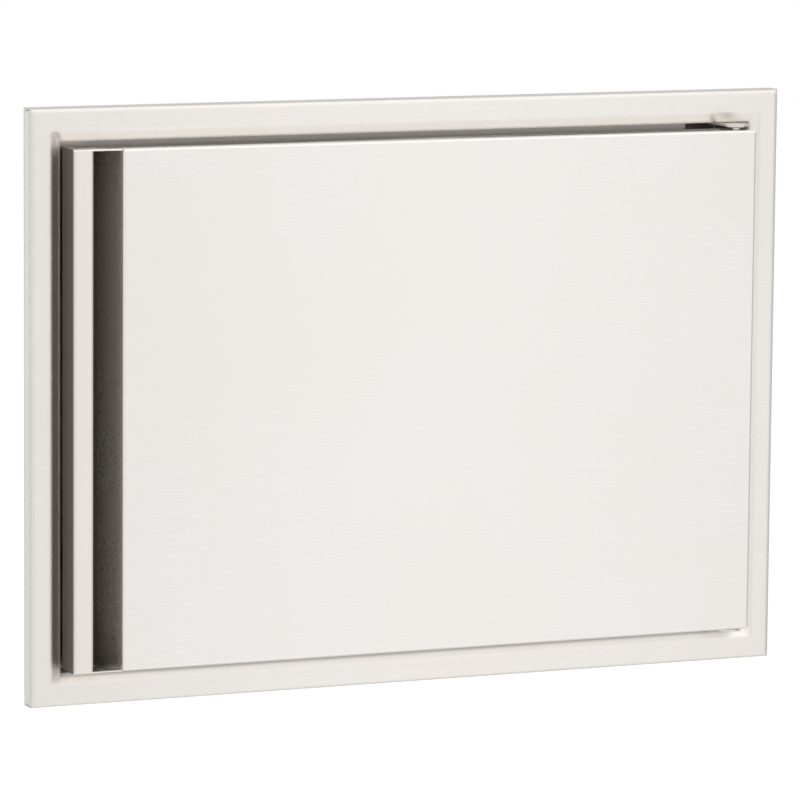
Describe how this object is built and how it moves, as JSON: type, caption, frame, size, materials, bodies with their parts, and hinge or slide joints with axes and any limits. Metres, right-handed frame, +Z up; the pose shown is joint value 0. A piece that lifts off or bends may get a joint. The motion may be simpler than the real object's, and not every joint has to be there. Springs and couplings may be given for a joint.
{
  "type": "access door",
  "caption": "Stainless access door for an outdoor kitchen: trim frame with a liner through the wall, a proud door with a recessed finger channel, pin hinges and magnetic catches.",
  "frame": {"origin": "centre of the cut-out, in the wall's front plane", "axes": "+X to the right seen from the front, +Y back into the wall, +Z up; the door faces -Y"},
  "size_m": [0.572, 0.08, 0.418],
  "materials": {
    "frame_steel": "brushed",
    "liner_steel": "mill",
    "door_steel": "brushed",
    "inner_steel": "mill",
    "bracket_steel": "satin",
    "pin_steel": "polished",
    "spring_steel": "satin",
    "screw_steel": "satin",
    "nylon": "matte",
    "catch_plastic": "matte",
    "magnet": "matte",
    "pole_steel": "satin",
    "strike_steel": "zinc plated",
    "rubber": "matte"
  },
  "bodies": {
    "frame": {"trim_frame": "frame_steel", "jamb_top": "liner_steel", "jamb_bottom": "liner_steel", "jamb_left": "liner_steel", "jamb_right": "liner_steel", "stop_top": "liner_steel", "stop_bottom": "liner_steel", "stop_left": "liner_steel", "stop_right": "liner_steel", "hinge_bracket_top": "bracket_steel", "hinge_bracket_bottom": "bracket_steel", "hinge_rivets": "screw_steel", "hinge_bush_top": "nylon", "hinge_pin_bottom": "pin_steel", "catch_cases": "catch_plastic", "catch_magnets": "magnet", "catch_poles": "pole_steel", "bumpers": "rubber"},
    "door": {"door_skin": "door_steel", "handle_channel": "door_steel", "handle_cap_top": "door_steel", "handle_cap_bottom": "door_steel", "door_liner": "inner_steel", "door_stiffener": "inner_steel", "pin_housing": "inner_steel", "hinge_plate_bottom": "inner_steel", "hinge_bush_bottom": "nylon", "strike_plates": "strike_steel", "pin_spring": "spring_steel"},
    "pin": {"hinge_pin_top": "pin_steel", "pin_clip": "pin_steel", "pin_lever": "pin_steel"}
  },
  "joints": [
    {"name": "door_hinge", "type": "hinge", "parent": "frame", "child": "door", "pos_m": [0.2485, -0.021, 0], "axis": [0, 0, 1], "range_deg": [0, 105]},
    {"name": "hinge_pin_release", "type": "slide", "parent": "door", "child": "pin", "axis": [0, 0, -1], "range_m": [0, 0.007], "stiffness_N_per_m": 600, "springref_m": -0.01, "deforming": ["pin_spring"]}
  ]
}
